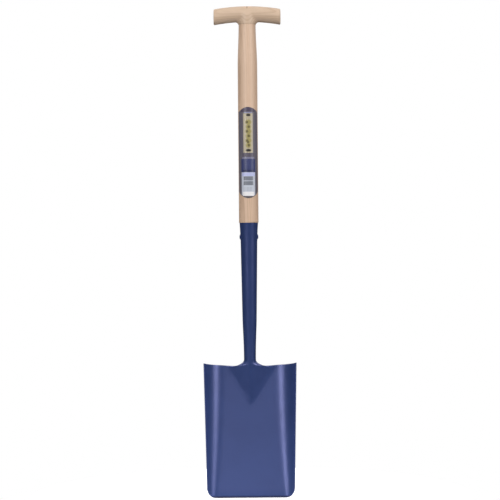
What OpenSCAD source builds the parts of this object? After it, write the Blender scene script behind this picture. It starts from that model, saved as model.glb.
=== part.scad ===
// T-handled spade of the taper-mouth pattern: one forged steel head, an ash shaft and a wooden crossbar.
// Z runs up the shaft and X along the crossbar. The hollow side of the blade faces -Y.
// The origin is on the shaft's axis, in the plane of the socket's mouth.

/* [Blade] */
// Length of the blade along its middle
blade_len = 269; // [240:0.5:300]
// Width across the top corners
blade_top_w = 191; // [180:0.5:205]
// Width just above the cutting edge
blade_tip_w = 177.5; // [170:0.5:195]
// Forward lean of the blade from the line of the shaft, in degrees
lift = 13; // [9:0.5:16]
// Width of the flat middle at the top
flat_top_w = 95; // [80:1:104]
// Width of the flat middle at the tip
flat_tip_w = 130; // [116:1:136]
// How far each side of the flat middle draws in halfway down
flat_waist = 3.5; // [0:0.5:5]
// Angle through which the sides turn forward at the top, in degrees
curl_top = 58; // [45:1:65]
// Angle through which the sides turn forward at the tip, in degrees
curl_tip = 50; // [40:1:60]
// Radius of the two bottom corners
corner_r = 20; // [12:1:26]
// Depth of the lengthwise hollow
dish = 3; // [0:0.5:5]
// Thickness at the top edge
sheet_top = 2.4; // [2:0.1:3.5]
// Thickness at the tip, before the ground edge
sheet_tip = 1.6; // [1.4:0.1:2.4]

/* [Frog and neck] */
// How much higher the top edge stands over the outer half of each side than beside the neck
shoulder_rise = 2.5; // [0:0.5:4]
// Half of the width of the frog, the raised V below the neck
frog_half_w = 50; // [40:1:56]
// Width of the shoulders where the neck spreads into the blade
root_w = 54; // [44:1:60]
// Diameter of the solid neck
neck_d = 24.4; // [22:0.2:26]

/* [Socket] */
// Height of the socket and neck above the blade's top edge
socket_len = 294.5; // [280:0.5:320]
// Outside diameter of the socket at its mouth
mouth_d = 38; // [37.2:0.1:39]
// Outside diameter that the upper taper would have at the mouth without its flare
socket_top_d = 35.4; // [34.6:0.1:36]
// Outside diameter at the lower end of the long taper
socket_low_d = 29.2; // [28:0.1:30]
// Distance from the mouth down to the rivet
rivet_drop = 29; // [22:1:45]

/* [Shaft] */
// Diameter of the parallel stretch of the shaft
shaft_d = 40; // [39.4:0.1:41]
// Length of the parallel stretch above the socket
parallel_len = 319; // [280:1:330]
// Diameter where the shaft meets the grip
shoulder_d = 34.8; // [33:0.1:36]
// Diameter of the tenon that goes through the grip
tenon_d = 24; // [20:0.5:25]

/* [Grip] */
// Height of the joint between shaft and grip above the socket's mouth
joint_z = 406; // [380:1:430]
// Length of the crossbar
grip_len = 137; // [120:1:150]
// Thickness of the crossbar
grip_d = 32; // [30:0.5:34]
// Radius of the crossbar's gentle arch
arch_r = 390; // [300:10:600]
// Height of the bar's axis above the joint, at its middle
grip_rise = 22; // [21:0.5:23]

/* [Label] */
// Length of the label along the shaft
label_len = 186; // [120:1:200]
// Height of the label's lower end above the socket's mouth
label_z = 50; // [20:1:80]
// Half of the angle that the label wraps round, in degrees
label_wrap = 70; // [40:1:80]

/* [Hidden] */
$fn = 96;
EPS = 0.01;

enamel = [0.2, 0.25, 0.42];
ash = [0.84, 0.74, 0.64];
wedge_wood = [0.55, 0.4, 0.27];
steel = [0.7, 0.7, 0.72];
film = [0.72, 0.68, 0.42];

function mix(a, b, t) = a + (b - a) * t;
function ease(t) = t <= 0 ? 0 : t >= 1 ? 1 : t * t * (3 - 2 * t);
// Rises smoothly from 0 to d as d passes from -e to e
function soft_rise(d, e) = d >= e ? d : d <= -e ? 0 : pow(d + e, 2) / (4 * e);

// ---- Blade surface: s runs down the blade, u from -1 to 1 across it ----

// Distance of the sheet's front behind the shaft's axis, at the top edge
blade_y = 4;
// Length of the edge ground on the front, and the share of the thickness left at its end
grind_len = 4;
grind_to = 0.45;
// Roundness of the frog's crest, and of the line where the frog runs out into the sheet
frog_crown = 4.5;
frog_blend = 3;
// Low ridge that carries the neck down the back of the blade
ridge_half_w = 15;
ridge_len = 50;
frog_h = (blade_y + neck_d / 2) / cos(lift);
ridge_h = (neck_d / 2 - blade_y) / cos(lift) - sheet_top;

function thickness(s) = mix(sheet_top, sheet_tip, s / blade_len);
function ground_off(s) = thickness(s) * (1 - grind_to) * max(0, s - blade_len + grind_len) / grind_len;
// Half of the flat middle, which narrows a little halfway down
function half_flat(s) = mix(flat_top_w, flat_tip_w, s / blade_len) / 2
    - 4 * flat_waist * (s / blade_len) * (1 - s / blade_len);
function curl(s) = mix(curl_top, curl_tip, s / blade_len);
// Half of the width over the front face, which lies inside the outer width by the sheet's slant
function half_w(s) = mix(blade_top_w, blade_tip_w, s / blade_len) / 2 - thickness(s) * sin(curl(s));
function curl_r(s) = (half_w(s) - half_flat(s)) / sin(curl(s));
// Half of the developed width, cut back round the bottom corners
function corner_s(s) = max(0, s - (blade_len - corner_r));
function reach(s) = half_flat(s) + curl_r(s) * curl(s) * PI / 180
    - corner_r + sqrt(max(0, pow(corner_r, 2) - pow(corner_s(s), 2)));

// Angle turned by the side at a developed distance q from the middle, in degrees
function turn_at(q, s) = q <= half_flat(s) ? 0 : (q - half_flat(s)) / curl_r(s) * 180 / PI;
function across(q, s) = q <= half_flat(s) ? q : half_flat(s) + curl_r(s) * sin(turn_at(q, s));
function forward(q, s) = q <= half_flat(s) ? 0 : curl_r(s) * (1 - cos(turn_at(q, s)));
function hollow(s) = -4 * dish * (s / blade_len) * (1 - s / blade_len);

frog_slope = frog_h / (norm([frog_half_w, frog_crown]) - frog_crown);
function frog(x, s) = soft_rise(
    frog_h - frog_slope * (norm([x, frog_crown]) - frog_crown) - s * tan(lift), frog_blend);
function ridge(x, s) = ridge_h * pow(max(0, 1 - pow(x / ridge_half_w, 2)), 2)
    * pow(max(0, 1 - s / ridge_len), 2);

// Point of the blade's own frame (x across, n forward off the sheet, s down) in the part's frame
function place(x, n, s) = [
    x,
    blade_y - n * cos(lift) - s * sin(lift),
    -socket_len + n * sin(lift) - s * cos(lift)
];

// Point on the front (side 1) or the back (side -1) of the sheet
function sheet_point(u, s, side) =
    let (q = abs(u) * reach(s), t = turn_at(q, s), x = across(q, s), n = forward(q, s) + hollow(s))
    let (off = side > 0 ? frog(x, s) - ground_off(s) : -thickness(s) - ridge(x, s))
    place(sign(u) * (x - off * sin(t)), n + off * cos(t), s);

// Columns: the inner ones carry on upwards as the neck, the outer ones end at the top edge
inner = 8;
outer = 8;
cols = 2 * (inner + outer) + 1;
mid = inner + outer;
root_u = root_w / 2 / reach(0);
function col_u(k) = sign(k) * (abs(k) <= inner ? root_u * abs(k) / inner
    : mix(root_u, 1, (abs(k) - inner) / outer));

// Rows: close together over the frog and round the bottom corners
frog_len = frog_h / tan(lift) + 14;
row_s = concat(
    [for (j = [0:9]) frog_len * j / 10],
    [for (j = [0:5]) mix(frog_len, blade_len - corner_r, j / 6)],
    [for (a = [0:11.25:90]) blade_len - corner_r + corner_r * sin(a)]
);
rows = len(row_s);

// The rise of the top edge, spread out over the rows down to the end of the frog
shoulder_u = 0.6;
function row_at(j, u) = row_s[j] - shoulder_rise * ease((abs(u) - root_u) / (shoulder_u - root_u))
    * max(0, 1 - row_s[j] / frog_len);
function blade_point(i, j, side) = let (u = col_u(i - mid)) sheet_point(u, row_at(j, u), side);

// Neck rings between the blade's top edge and the solid neck
rings = 7;
ring_size = 2 * (2 * inner + 1);
// Height of the neck's flare above the top edge, and how far its core runs on into the socket
neck_rise = 14;
neck_plug = 6;
neck_ring_r = neck_d / 2 - 0.1;
neck_ring_z = -socket_len + neck_rise;
// How quickly the rings close in across the blade and from front to back
close_x = 2.2;
close_y = 1.6;
side_gap = 180 / ring_size;

function ring_angle(k) = k <= 2 * inner
    ? mix(180 + side_gap, 360 - side_gap, k / (2 * inner))
    : mix(side_gap, 180 - side_gap, (k - 2 * inner - 1) / (2 * inner));
function ring_start(k) = k <= 2 * inner
    ? sheet_point(col_u(k - inner), 0, 1)
    : sheet_point(col_u(3 * inner + 1 - k), 0, -1);
function ring_end(k) = [
    neck_ring_r * cos(ring_angle(k)), neck_ring_r * sin(ring_angle(k)), neck_ring_z];
function ring_point(k, t) =
    let (a = ring_start(k), b = ring_end(k))
    [mix(b.x, a.x, pow(1 - t, close_x)), mix(b.y, a.y, pow(1 - t, close_y)), mix(a.z, b.z, t)];

head_points = concat(
    [for (j = [0:rows - 1]) for (i = [0:cols - 1]) blade_point(i, j, 1)],
    [for (j = [0:rows - 1]) for (i = [0:cols - 1]) blade_point(i, j, -1)],
    [for (m = [1:rings]) for (k = [0:ring_size - 1]) ring_point(k, m / rings)],
    [for (k = [0:ring_size - 1]) ring_end(k) + [0, 0, neck_plug]]
);

function front_id(i, j) = j * cols + i;
function back_id(i, j) = rows * cols + front_id(i, j);
function ring_id(m, k) = m > 0 ? 2 * rows * cols + (m - 1) * ring_size + k % ring_size
    : k % ring_size <= 2 * inner ? front_id(mid - inner + k % ring_size, 0)
    : back_id(mid + 3 * inner + 1 - k % ring_size, 0);
function quad(a, b, c, d) = [[a, b, c], [a, c, d]];

head_faces = concat(
    [for (j = [0:rows - 2]) for (i = [0:cols - 2]) each
        quad(front_id(i, j), front_id(i + 1, j), front_id(i + 1, j + 1), front_id(i, j + 1))],
    [for (j = [0:rows - 2]) for (i = [0:cols - 2]) each
        quad(back_id(i, j), back_id(i, j + 1), back_id(i + 1, j + 1), back_id(i + 1, j))],
    [for (j = [0:rows - 2]) each
        quad(front_id(0, j), front_id(0, j + 1), back_id(0, j + 1), back_id(0, j))],
    [for (j = [0:rows - 2]) each quad(front_id(cols - 1, j), back_id(cols - 1, j),
        back_id(cols - 1, j + 1), front_id(cols - 1, j + 1))],
    [for (i = [0:cols - 2]) each quad(front_id(i, rows - 1), front_id(i + 1, rows - 1),
        back_id(i + 1, rows - 1), back_id(i, rows - 1))],
    [for (i = [0:cols - 2]) if (i < mid - inner || i >= mid + inner) each
        quad(front_id(i, 0), back_id(i, 0), back_id(i + 1, 0), front_id(i + 1, 0))],
    [for (m = [0:rings]) for (k = [0:ring_size - 1]) each
        quad(ring_id(m, k), ring_id(m + 1, k), ring_id(m + 1, k + 1), ring_id(m, k + 1))],
    [[for (k = [0:ring_size - 1]) ring_id(rings + 1, k)]]
);

// ---- Socket ----

// Lengths of the flare at the mouth, of the long taper, and of the run down to the neck
flare_len = 45;
taper_len = 195;
neck_in_len = 85;
socket_end = socket_len - neck_rise - 1.5;
// Thickness of the wall, depth of the bore below the mouth, and the gap left round the wood
wall = 2;
bore_end = 268;
shaft_gap = 0.1;
rivet_d = 6;
rivet_head_d = 11;
rivet_head_h = 1.9;
// Depth of the flat seats under the rivet's heads, and height of a head's upright rim
rivet_sink = 1;
rivet_rim = 0.9;
// Gap left round the rivet's shank, the tenon and the wedge
fit_gap = 0.05;

// Outside radius of the socket at a distance d below its mouth
function socket_r(d) =
    let (line = mix(socket_top_d, socket_low_d, d / taper_len) / 2)
    let (flared = line + (mouth_d - socket_top_d) / 2 * pow(max(0, 1 - d / flare_len), 2))
    mix(flared, neck_d / 2 + EPS, ease((d - taper_len) / neck_in_len));

socket_steps = 40;
// Rounding of the mouth's outer edge, and how much thicker the wall is there
rim_r = 0.8;
rim_extra = 0.4;
rivet_seat = socket_r(rivet_drop) - rivet_sink;
bore_top_r = mouth_d / 2 - wall - rim_extra;
bore_mid_r = socket_r(taper_len) - wall;
bore_end_r = socket_r(bore_end) - wall;

// Two tapers of the bore, made smaller all round by a gap for the wood
module bore_shape(gap, end) {
    mid_z = -taper_len;
    end_r = mix(bore_mid_r, bore_end_r, (end - taper_len) / (bore_end - taper_len));
    translate([0, 0, mid_z])
        cylinder(r1 = bore_mid_r - gap, r2 = bore_top_r - gap, h = taper_len);
    translate([0, 0, -end])
        cylinder(r1 = end_r - gap, r2 = bore_mid_r - gap, h = end - taper_len);
}

module socket_outside() {
    rim = [for (a = [0:22.5:67.5]) [mouth_d / 2 - rim_r + rim_r * sin(a), -rim_r + rim_r * cos(a)]];
    side = [for (j = [0:socket_steps]) let (d = mix(rim_r, socket_end, j / socket_steps))
        [socket_r(d), -d]];
    rotate_extrude()
        polygon(concat([[0, 0]], rim, side, [[0, -socket_end]]));
}

module rivet_shank(gap) {
    translate([-mouth_d / 2, 0, -rivet_drop])
        rotate([0, 90, 0]) cylinder(d = rivet_d + 2 * gap, h = mouth_d);
}

// Flat seats pressed into the socket's sides for the rivet's heads
module rivet_seats() {
    for (side = [-1, 1])
        translate([side * rivet_seat, 0, -rivet_drop]) rotate([0, side * 90, 0])
            cylinder(d = rivet_head_d + 2 * shaft_gap, h = mouth_d);
}

module spade_head() {
    color(enamel)
    difference() {
        union() {
            polyhedron(points = head_points, faces = head_faces);
            socket_outside();
        }
        bore_shape(0, bore_end);
        cylinder(r = bore_top_r, h = 1);
        rivet_shank(fit_gap);
        rivet_seats();
    }
}

// One turned profile: a shank with a low domed head at each end
module socket_rivet() {
    head_r = rivet_head_d / 2;
    base = rivet_seat + rivet_rim;
    rise = rivet_head_h + rivet_sink - rivet_rim;
    dome = [for (a = [0:15:90]) [head_r * cos(a), base + rise * sin(a)]];
    upper = concat([[rivet_d / 2, rivet_seat], [head_r, rivet_seat]], dome);
    lower = [for (k = [len(upper) - 1:-1:0]) [upper[k].x, -upper[k].y]];
    color(enamel)
    translate([0, 0, -rivet_drop]) rotate([0, 90, 0])
        rotate_extrude()
            polygon(concat(lower, upper));
}

// ---- Shaft and grip ----

taper_steps = 16;
shaft_end = bore_end - 2;
grip_z = joint_z + grip_rise;
// Saw cut in the tenon that takes the wedge
kerf_w = 2;
kerf_len = 18;
wedge_tip_w = 0.8;
// Steel pin across the joint: its hole enters at the back and stops short of the front
pin_d = 4;
pin_gap = 0.02;
pin_z = joint_z + 14;
pin_hole_len = 30;
pin_recess = 0.5;
// Round boss under the bar: its radius, the swell at the foot of its dome and the dome's margins
boss_r = shoulder_d / 2 + 0.4;
boss_swell = 0.8;
boss_margin = 6;
// Fillets between boss and bar: height, reach and how steeply they run out
flare_h = 9;
flare_out = 17;
flare_power = 2.4;
// Width of the fillets from front to back, and radius of their round underside
fillet_w = 12;
fillet_skin_r = 18.5;

// Radius of the shaft above its parallel stretch
function upper_r(z) = mix(shaft_d, shoulder_d, ease((z - parallel_len) / (joint_z - parallel_len))) / 2;

// The arched bar: a stretch of a torus between two upright end faces
module arched_bar(d) {
    half_angle = asin(grip_len / 2 / (arch_r - d));
    intersection() {
        translate([0, 0, grip_z - arch_r]) rotate([90, 0, 0]) rotate([0, 0, 90 - half_angle])
            rotate_extrude(angle = 2 * half_angle, $fn = 360)
                translate([arch_r, 0]) circle(d = d, $fn = 64);
        translate([-grip_len / 2, -d, joint_z - d]) cube([grip_len, 2 * d, 3 * d]);
    }
}

module tenon_core(r) {
    intersection() {
        translate([0, 0, joint_z]) cylinder(r = r, h = grip_d + grip_rise);
        union() {
            arched_bar(grip_d);
            translate([0, 0, joint_z]) cylinder(r = r, h = grip_rise);
        }
    }
}

module pin_hole(gap) {
    translate([0, shaft_d, pin_z]) rotate([90, 0, 0])
        cylinder(d = pin_d + 2 * gap, h = shaft_d - boss_r + pin_hole_len);
}

module kerf() {
    translate([-kerf_w / 2, -tenon_d, grip_z + grip_d / 2 - kerf_len])
        cube([kerf_w, 2 * tenon_d, kerf_len + 1]);
}

module shaft() {
    color(ash)
    difference() {
        union() {
            bore_shape(shaft_gap, shaft_end);
            cylinder(d = shaft_d, h = parallel_len);
            rotate_extrude()
                polygon(concat(
                    [[0, parallel_len]],
                    [for (j = [0:taper_steps]) let (z = mix(parallel_len, joint_z, j / taper_steps))
                        [upper_r(z), z]],
                    [[0, joint_z]]
                ));
            tenon_core(tenon_d / 2);
        }
        kerf();
        pin_hole(pin_gap);
        rivet_shank(fit_gap);
    }
}

// Round boss under the bar, domed so that it dies into the bar's crown
module boss() {
    dome_h = grip_rise + grip_d / 2 - boss_margin;
    wall_h = grip_rise - boss_margin;
    rotate_extrude()
        polygon(concat(
            [[0, joint_z], [boss_r, joint_z]],
            [for (a = [0:7.5:90]) [(boss_r + boss_swell) * cos(a), joint_z + wall_h
                + (dome_h - wall_h) * sin(a)]]
        ));
}

// Front outline of one concave fillet, from the joint out to the underside of the bar
function fillet_edge(side) = [for (j = [0:10]) let (t = j / 10)
    [side * (boss_r - 0.2 + flare_out * pow(t, flare_power)), joint_z + EPS + flare_h * t]];

// Concave fillets that carry the boss out along the underside of the bar
module fillets() {
    intersection() {
        translate([0, fillet_w / 2, 0]) rotate([90, 0, 0])
            linear_extrude(height = fillet_w)
                polygon(concat(
                    fillet_edge(1),
                    [for (k = [10:-1:0]) fillet_edge(-1)[k]]
                ));
        translate([-grip_len / 2, 0, grip_z]) rotate([0, 90, 0])
            cylinder(r = fillet_skin_r, h = grip_len);
    }
}

module t_grip() {
    color(ash)
    difference() {
        union() {
            arched_bar(grip_d);
            boss();
            fillets();
        }
        translate([0, 0, joint_z - 1]) cylinder(d = tenon_d + 2 * fit_gap, h = 2 * grip_d);
        pin_hole(pin_gap);
    }
}

module tenon_wedge() {
    top = grip_z + grip_d / 2;
    low = top - kerf_len + 1;
    color(wedge_wood)
    intersection() {
        tenon_core(tenon_d / 2 - fit_gap);
        translate([0, tenon_d, 0]) rotate([90, 0, 0])
            linear_extrude(height = 2 * tenon_d)
                polygon([
                    [-kerf_w / 2 + fit_gap, top],
                    [kerf_w / 2 - fit_gap, top],
                    [wedge_tip_w / 2, low],
                    [-wedge_tip_w / 2, low]
                ]);
    }
}

module grip_pin() {
    color(steel)
    translate([0, boss_r - pin_recess, pin_z]) rotate([90, 0, 0])
        cylinder(d = pin_d, h = pin_hole_len - 2 * pin_recess);
}

// ---- Label ----

film_t = 0.15;
film_gap = 0.02;
// Heights of the domed upper and lower ends
label_top_dome = 10;
label_low_dome = 13;

// Disc across Y that bounds a domed end, with its crown at height z
module dome_disc(z, rise, up) {
    half = shaft_d / 2 * sin(label_wrap);
    r = (pow(half, 2) + pow(rise, 2)) / (2 * rise);
    translate([0, 0, z - up * r]) rotate([90, 0, 0]) cylinder(r = r, h = shaft_d, $fn = 180);
}

module label() {
    inner_r = shaft_d / 2 + film_gap;
    top = label_z + label_len;
    body_z = label_z + label_low_dome;
    color(film)
    intersection() {
        translate([0, 0, label_z]) rotate([0, 0, 270 - label_wrap])
            rotate_extrude(angle = 2 * label_wrap)
                translate([inner_r, 0]) square([film_t, label_len]);
        union() {
            dome_disc(top, label_top_dome, 1);
            translate([-shaft_d, -shaft_d, body_z])
                cube([2 * shaft_d, shaft_d, label_len - label_top_dome - label_low_dome]);
            dome_disc(label_z, label_low_dome, -1);
        }
    }
}

spade_head();
shaft();
t_grip();
tenon_wedge();
grip_pin();
socket_rivet();
label();
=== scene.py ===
import math

import bmesh
import bpy
import numpy as np
from mathutils import Matrix, Vector


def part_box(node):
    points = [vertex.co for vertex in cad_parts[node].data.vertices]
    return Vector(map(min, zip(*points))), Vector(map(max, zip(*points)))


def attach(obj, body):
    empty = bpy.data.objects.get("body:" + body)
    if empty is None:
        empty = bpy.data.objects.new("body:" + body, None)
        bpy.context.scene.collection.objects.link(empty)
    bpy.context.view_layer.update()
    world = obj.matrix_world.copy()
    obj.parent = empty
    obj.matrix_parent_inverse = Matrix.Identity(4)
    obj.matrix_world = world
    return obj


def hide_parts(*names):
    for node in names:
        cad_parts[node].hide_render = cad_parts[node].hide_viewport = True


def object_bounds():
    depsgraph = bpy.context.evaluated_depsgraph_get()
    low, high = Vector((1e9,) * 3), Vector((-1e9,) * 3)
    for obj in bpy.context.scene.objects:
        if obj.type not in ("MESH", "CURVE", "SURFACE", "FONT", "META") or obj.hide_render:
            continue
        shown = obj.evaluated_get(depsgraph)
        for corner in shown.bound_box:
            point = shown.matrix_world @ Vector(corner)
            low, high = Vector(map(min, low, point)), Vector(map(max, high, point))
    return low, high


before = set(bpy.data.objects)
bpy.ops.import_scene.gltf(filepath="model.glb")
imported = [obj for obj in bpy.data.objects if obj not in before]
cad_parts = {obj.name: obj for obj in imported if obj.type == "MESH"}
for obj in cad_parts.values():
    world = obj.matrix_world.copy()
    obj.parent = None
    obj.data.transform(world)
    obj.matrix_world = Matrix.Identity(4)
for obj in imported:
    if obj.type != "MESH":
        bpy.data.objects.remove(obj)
cad_lo, cad_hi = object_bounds()

# T-handled spade of the taper-mouth pattern. Sizes below are in millimetres, and every mesh is
# written in metres. Z runs up the shaft, X along the crossbar, and the blade's hollow faces -Y.
MM = 0.001

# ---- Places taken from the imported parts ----

head_lo, _ = [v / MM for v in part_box("spade_head")]
shaft_lo, shaft_hi = [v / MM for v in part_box("shaft")]
_, grip_hi = [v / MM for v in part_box("t_grip")]
wedge_lo, wedge_hi = [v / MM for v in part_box("tenon_wedge")]
pin_lo, pin_hi = [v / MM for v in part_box("grip_pin")]
rivet_lo, rivet_hi = [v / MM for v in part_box("socket_rivet")]
label_lo, label_hi = [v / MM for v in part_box("label")]

# The rivet lies along X and the pin along Y
RIVET_Z = (rivet_lo.z + rivet_hi.z) / 2
RIVET_R = (rivet_hi.z - rivet_lo.z) / 2
PIN_Z = (pin_lo.z + pin_hi.z) / 2
PIN_R = (pin_hi.z - pin_lo.z) / 2

# ---- Blade ----

BLADE_LEN = 269.0
# Widths across the top corners and just above the cutting edge
TOP_W, TIP_W = 191.0, 177.5
# Forward lean of the blade from the line of the shaft
LIFT = math.radians(13)
# Flat middle: its widths at the top and the tip, and how far each side draws in halfway down
FLAT_TOP_W, FLAT_TIP_W = 95.0, 130.0
FLAT_WAIST = 3.5
# Angles through which the sides turn forward at the top and the tip
CURL_TOP, CURL_TIP = math.radians(58), math.radians(50)
CORNER_R = 20.0
# Depth of the lengthwise hollow
DISH = 3.0
# Thickness at the top edge, and at the tip before the ground edge
SHEET_TOP, SHEET_TIP = 2.4, 1.6
# Length of the edge ground on the front, and the share of the thickness left at its end
GRIND_LEN, GRIND_TO = 4.0, 0.45
# Distance of the sheet's front behind the shaft's axis, at the top edge
BLADE_Y = 4.0
# How much higher the top edge stands outside than beside the neck, and the share of the half width
# at which it gets there
SHOULDER_RISE, SHOULDER_U = 2.5, 0.6
# Frog, the raised V: half of its width, roundness of its crest, and how softly it runs out
FROG_HALF_W, FROG_CROWN, FROG_BLEND = 50.0, 4.5, 3.0
# Width of the shoulders where the neck spreads into the blade
ROOT_W = 54.0
NECK_D = 24.4
# Low ridge that carries the neck down the back of the blade
RIDGE_HALF_W, RIDGE_LEN = 15.0, 50.0
# How far past the frog's end its rows of the mesh run
FROG_RUN_OUT = 14.0
# Rounding of the edge, as a share of the thickness
EDGE_ROUND = 0.48

# ---- Socket ----

# Height of the socket and neck above the blade's top edge
SOCKET_LEN = 294.5
# Outside diameters: at the mouth, of the taper there without its flare, and at the taper's lower end
MOUTH_D, SOCKET_TOP_D, SOCKET_LOW_D = 38.0, 35.4, 29.2
# Lengths of the flare, of the long taper, and of the run down to the neck
FLARE_LEN, TAPER_LEN, NECK_IN_LEN = 45.0, 195.0, 85.0
# Height of the neck's flare above the blade, and how quickly it closes in across X and Y
NECK_RISE = 14.0
CLOSE_X, CLOSE_Y = 2.2, 1.6
# Half of the angle that each side of the sheet takes up round the neck
SIDE_ANGLE = math.radians(3.3)
# Rounding of the mouth's outer edge, and bevel of its inner one
RIM_R = 0.8
RIM_BEVEL = 0.2
# Thickness of the wall, and how much thicker it is at the mouth
WALL, RIM_EXTRA = 2.0, 0.4
BORE_TOP_R = MOUTH_D / 2 - WALL - RIM_EXTRA
# Depth of the bore below the mouth, and the gap left round the shaft in it
BORE_END = 268.0
SHAFT_GAP = 0.1
# Rivet: radius of its shank, depth of the seats under its heads, upright rim and bevel of a head
RIVET_SHANK_R = 3.0
RIVET_SINK = 1.0
RIVET_RIM = 0.9
RIVET_BEVEL = 0.3

# ---- Shaft and grip ----

PARALLEL_LEN = 319.0
SHAFT_R = shaft_hi.x
# Bevel of the shaft's lower end: width and height
FOOT_BEVEL_W, FOOT_BEVEL_H = 0.5, 0.8
# Rounding of the shaft where it leaves the socket: steps in from its surface and up from the mouth
MOUTH_ROUNDING = ((0.6, 0.0), (0.35, 0.07), (0.1, 0.3), (0.0, 0.7))
# Radius where the shaft meets the grip, and its bevel
SHOULDER_R = 17.4
SHOULDER_BEVEL = 0.3
TENON_R = 12.0
TENON_BEVEL = 0.3
JOINT_Z = 406.0
# Radius of the bar, of its arch, and of the rounding of its ends
GRIP_R = 16.0
ARCH_R = 390.0
GRIP_END_R = 2.2
GRIP_Z = shaft_hi.z - GRIP_R
ARCH_Z = GRIP_Z - ARCH_R
# Boss under the bar: radius, swell towards its dome, height where the dome starts, and dome's rise
BOSS_R, BOSS_SWELL = 17.7, 0.6
BOSS_WALL_Z, BOSS_DOME = 422.0, 16.0
# Softness of the fillets between boss and bar, at the foot and above, and the heights it changes over
FILLET_LOW, FILLET_HIGH = 8.0, 2.5
FILLET_FROM, FILLET_OVER = 4.0, 10.0
KERF_W, KERF_LEN = 2.0, 18.0
# Half of the wedge's thickness at its thin end
WEDGE_TIP = 0.4
# Gaps left round the tenon and the rivet's shank, and round the pin; the pin's hole is deeper by its recess
FIT_GAP = 0.05
PIN_GAP = 0.02
PIN_RECESS = 0.5
PIN_BEVEL = 0.4
# How far the cutters of holes reach out from the axis, and past an open end
CUT_REACH = 30.0
CUT_PAST = 5.0

# ---- Label ----

# Film's thickness, and the gap between it and the shaft
FILM_T, FILM_GAP = 0.15, 0.02
# Half of the angle that the label wraps round
WRAP = math.radians(70)
# Heights of the domed upper and lower ends
DOME_TOP, DOME_LOW = 10.0, 13.0

# ---- Fineness of the meshes ----

# Columns of the blade on each side of its middle: below the neck, and from there out to the edge
INNER, OUTER = 24, 40
COLS = INNER + OUTER
# Columns beside the neck over which the rounding of the top edge starts
START_COLS = 4.0
# Rows of the blade: over the frog, from there to the corners, and round the corners
FROG_ROWS, MID_ROWS, CORNER_ROWS = 50, 60, 20
LAST_ROW = FROG_ROWS + MID_ROWS + CORNER_ROWS
# Steps round the blade's edge from front to back
LEVELS = 6
# Rings of the neck, of the socket below and above the rivet, and of the two tapers of the bore
NECK_RINGS = 14
LOW_RINGS, MOUTH_RINGS = 110, 14
BORE_RINGS, BORE_END_RINGS = 24, 9
# Stretch above and below the rivet with closer rings, their spacing, and where the others resume
SEAT_HALF, SEAT_STEP, SEAT_MARGIN = 7.0, 0.5, 9.0
# Rings across the crossbar, and points in each
BAR_RINGS, BAR_POINTS = 151, 144
# Points round the shaft and its mortise, and round the small turned pieces
SHAFT_POINTS, SMALL_POINTS = 128, 48
LABEL_COLS, LABEL_ROWS = 120, 150
# Edges sharper than this many degrees stay crisp
SHARP = 38.0


def mix(a, b, t):
    return a + (b - a) * t


def ease(t):
    t = np.clip(t, 0.0, 1.0)
    return t * t * (3 - 2 * t)


# ================= Meshes =================


def make_object(name, points, faces, sharp):
    """Object with smooth shading from points in millimetres; edges sharper than the angle stay crisp."""
    mesh = bpy.data.meshes.new(name)
    mesh.from_pydata([tuple(p) for p in np.asarray(points, float) * MM], [], faces)
    bm = bmesh.new()
    bm.from_mesh(mesh)
    bmesh.ops.recalc_face_normals(bm, faces=bm.faces)
    bm.to_mesh(mesh)
    bm.free()
    mesh.shade_smooth()
    mesh.set_sharp_from_angle(angle=math.radians(sharp))
    obj = bpy.data.objects.new(name, mesh)
    bpy.context.scene.collection.objects.link(obj)
    return obj


class Skin:
    """Collects points and faces of one mesh."""

    def __init__(self):
        self.points = []
        self.faces = []

    def add(self, pts):
        start = len(self.points)
        self.points.extend([tuple(p) for p in pts])
        return list(range(start, start + len(pts)))

    def bridge(self, ring_a, ring_b, closed=True):
        n = len(ring_a)
        for k in range(n if closed else n - 1):
            j = (k + 1) % n
            self.faces.append((ring_a[k], ring_b[k], ring_b[j], ring_a[j]))

    def fan(self, ring, centre):
        c = self.add([centre])[0]
        n = len(ring)
        for k in range(n):
            self.faces.append((ring[k], c, ring[(k + 1) % n]))

    def rings(self, stack, cap_a=None, cap_b=None):
        """Closed rings skinned in order, with a fan to a centre point at each end."""
        ids = [self.add(r) for r in stack]
        for a, b in zip(ids, ids[1:]):
            self.bridge(a, b)
        if cap_a is not None:
            self.fan(ids[0], cap_a)
        if cap_b is not None:
            self.fan(ids[-1], cap_b)
        return ids

    def build(self, name, sharp=SHARP):
        return make_object(name, self.points, self.faces, sharp)


def ring_at(angles, r, z):
    return np.stack([r * np.cos(angles), r * np.sin(angles), np.full(len(angles), float(z))], 1)


def circle(r, z, segments):
    return ring_at(np.arange(segments) * 2 * math.pi / segments, r, z)


def turned(name, profile, segments, axis):
    """Solid of revolution from (radius, height) pairs; both ends close on the axis."""
    turn = {
        "Z": lambda p: p,
        "X": lambda p: p[:, [2, 0, 1]],
        "Y": lambda p: p[:, [1, 2, 0]],
    }[axis]
    skin = Skin()
    stack = [turn(circle(r, z, segments)) for r, z in profile]
    low = turn(np.array([[0.0, 0.0, profile[0][1]]]))[0]
    high = turn(np.array([[0.0, 0.0, profile[-1][1]]]))[0]
    skin.rings(stack, low, high)
    return skin.build(name)


def cut(obj, *cutters):
    """Takes the cutters away from the object for good, and removes them."""
    for c in cutters:
        m = obj.modifiers.new("cut", "BOOLEAN")
        m.operation = "DIFFERENCE"
        m.solver = "EXACT"
        m.object = c
    bpy.context.view_layer.update()
    graph = bpy.context.evaluated_depsgraph_get()
    made = bpy.data.meshes.new_from_object(obj.evaluated_get(graph))
    obj.modifiers.clear()
    obj.data = made
    for c in cutters:
        bpy.data.objects.remove(c)
    made.shade_smooth()
    made.set_sharp_from_angle(angle=math.radians(SHARP))
    return obj


def rod(name, r, start, end, axis, segments=64):
    return turned(name, [(r, start), (r, end)], segments, axis)


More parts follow.
